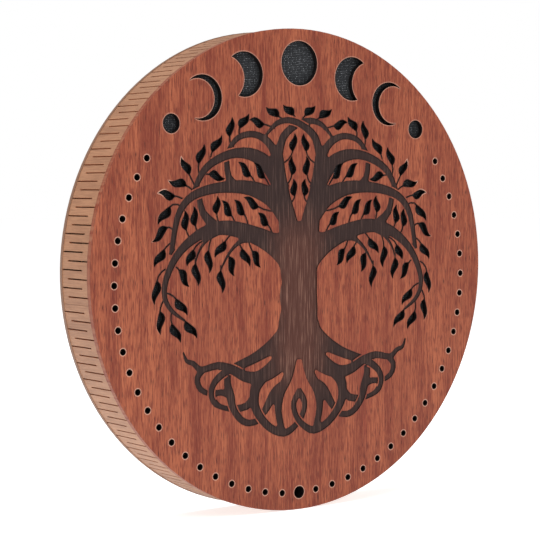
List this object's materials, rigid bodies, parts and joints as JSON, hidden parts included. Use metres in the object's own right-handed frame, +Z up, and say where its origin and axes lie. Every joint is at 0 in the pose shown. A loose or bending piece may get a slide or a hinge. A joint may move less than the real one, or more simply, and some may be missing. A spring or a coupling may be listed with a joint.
{
  "type": "cribbage board",
  "caption": "Round wooden peg board: a shallow kerf-bent drum with a pierced, engraved tree and moon face, a ring of peg holes, rear peg storage with a swivel cover, and a keyhole hanger.",
  "frame": {"origin": "centre of the back panel's outer face", "axes": "+Y out of the back towards the wall, so the engraved face looks along -Y; +Z up the artwork; +X to the viewer's right when facing the artwork"},
  "size_m": [0.254, 0.0345, 0.254],
  "materials": {
    "face_veneer": "satin reddish-brown veneer, laser engraved",
    "cloth": "open dark grey weave",
    "inner_wood": "unfinished",
    "band_wood": "satin light tan, burnt dark in the slits",
    "back_wood": "satin brown",
    "brass": "brushed",
    "felt": "green felt",
    "light_peg": "turned, pale",
    "dark_peg": "turned, dark",
    "washer": "plain",
    "rubber": "matt"
  },
  "bodies": {
    "board": {"front_panel": "face_veneer", "cloth_backing": "cloth", "peg_block": "inner_wood", "kerf_band": "band_wood", "seam_splice": "inner_wood", "back_panel": "back_wood", "screw_blocks": "inner_wood", "back_screws": "brass", "peg_tray": "inner_wood", "peg_bed": "felt", "peg_light_1": "light_peg", "peg_light_2": "light_peg", "peg_light_3": "light_peg", "peg_dark_1": "dark_peg", "peg_dark_2": "dark_peg", "peg_dark_3": "dark_peg", "cover_washer": "washer", "pivot_screw": "brass", "catch_screw": "brass", "pivot_block": "inner_wood", "catch_block": "inner_wood", "hanger_plate": "brass", "hanger_blocks": "inner_wood", "hanger_screws": "brass", "bumper_top_left": "rubber", "bumper_top_right": "rubber", "bumper_bottom_left": "rubber", "bumper_bottom_right": "rubber"},
    "cover": {"cover_plate": "brass", "cover_button": "brass"}
  },
  "joints": [
    {"name": "cover_swivel", "type": "hinge", "parent": "board", "child": "cover", "pos_m": [0.052, 0.00145, -0.04], "axis": [0, 1, 0], "range_deg": [0, 100]}
  ]
}
